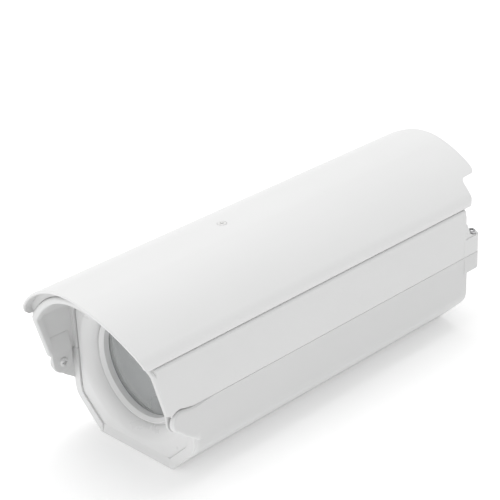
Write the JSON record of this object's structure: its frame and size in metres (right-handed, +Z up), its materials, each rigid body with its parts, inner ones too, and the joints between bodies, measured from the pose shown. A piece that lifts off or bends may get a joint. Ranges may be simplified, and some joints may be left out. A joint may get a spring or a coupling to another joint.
{
  "type": "security camera housing",
  "caption": "Weatherproof housing for a fixed camera: hinged lid, sunshield, glass window, sliding camera tray, window heater and cable glands.",
  "frame": {"origin": "centre of the four bracket inserts, on the flat underside", "axes": "+Z up, +Y from the window to the rear wall, +X to the right when looking along +Y"},
  "size_m": [0.1326, 0.379, 0.1468],
  "materials": {
    "white_housing": "satin white moulded plastic",
    "stainless": "plain stainless steel",
    "brass_parts": "turned brass",
    "clear_glass": "clear float glass",
    "black_rubber": "dull black rubber",
    "grey_silicone": "light grey silicone",
    "zinc_plate": "zinc-plated sheet steel",
    "bare_aluminium": "bare aluminium",
    "nylon": "natural nylon",
    "gland_nylon": "light grey nylon",
    "board_green": "green lacquered board",
    "terminal_grey": "grey moulded plastic"
  },
  "bodies": {
    "base": {"bezel_screws": "stainless", "board_screws": "stainless", "board_standoffs": "nylon", "clamp_screws": "stainless", "earth_screw": "brass_parts", "earth_washer": "stainless", "front_bezel": "white_housing", "front_seal": "grey_silicone", "gland_bodies": "gland_nylon", "gland_locknuts": "gland_nylon", "gland_nuts": "gland_nylon", "gland_seals": "black_rubber", "gland_washers": "black_rubber", "heater_block": "bare_aluminium", "heater_bracket": "zinc_plate", "heater_screws": "stainless", "hinge_screws": "stainless", "hinge_washers": "nylon", "lid_gasket": "grey_silicone", "lower_body": "white_housing", "mount_inserts": "brass_parts", "power_board": "board_green", "rail_screws": "stainless", "rear_inserts": "brass_parts", "terminal_block": "terminal_grey", "thermostat": "zinc_plate", "tray_lock_nuts": "stainless", "tray_lock_screws": "stainless", "tray_lock_washers": "stainless", "tray_rails": "zinc_plate", "window_clamp": "white_housing", "window_gasket": "grey_silicone", "window_glass": "clear_glass", "window_ring": "white_housing"},
    "cover": {"top_cover": "white_housing", "sunshield": "white_housing", "shield_spacers": "nylon", "shield_insert": "brass_parts", "shield_sleeve": "nylon", "shield_screw": "white_housing"},
    "rear_screw_left": {"rear_screw_left": "stainless"},
    "rear_screw_right": {"rear_screw_right": "stainless"},
    "tray": {"camera_tray": "bare_aluminium"},
    "camera_screw": {"camera_screw": "stainless"}
  },
  "joints": [
    {"name": "cover_hinge", "type": "hinge", "parent": "base", "child": "cover", "pos_m": [0, -0.162, 0.057], "axis": [1, 0, 0], "range_deg": [0, 80]},
    {"name": "rear_screw_left_turn", "type": "hinge", "parent": "cover", "child": "rear_screw_left", "pos_m": [-0.0597, 0.1634, 0.07], "axis": [0, 0, 1], "continuous": true},
    {"name": "rear_screw_right_turn", "type": "hinge", "parent": "cover", "child": "rear_screw_right", "pos_m": [0.0597, 0.1634, 0.07], "axis": [0, 0, 1], "continuous": true},
    {"name": "tray_slide", "type": "slide", "parent": "base", "child": "tray", "axis": [0, 1, 0], "range_m": [-0.015, 0.025]},
    {"name": "camera_screw_slide", "type": "slide", "parent": "tray", "child": "camera_screw", "axis": [0, 1, 0], "range_m": [-0.05, 0.05]}
  ]
}
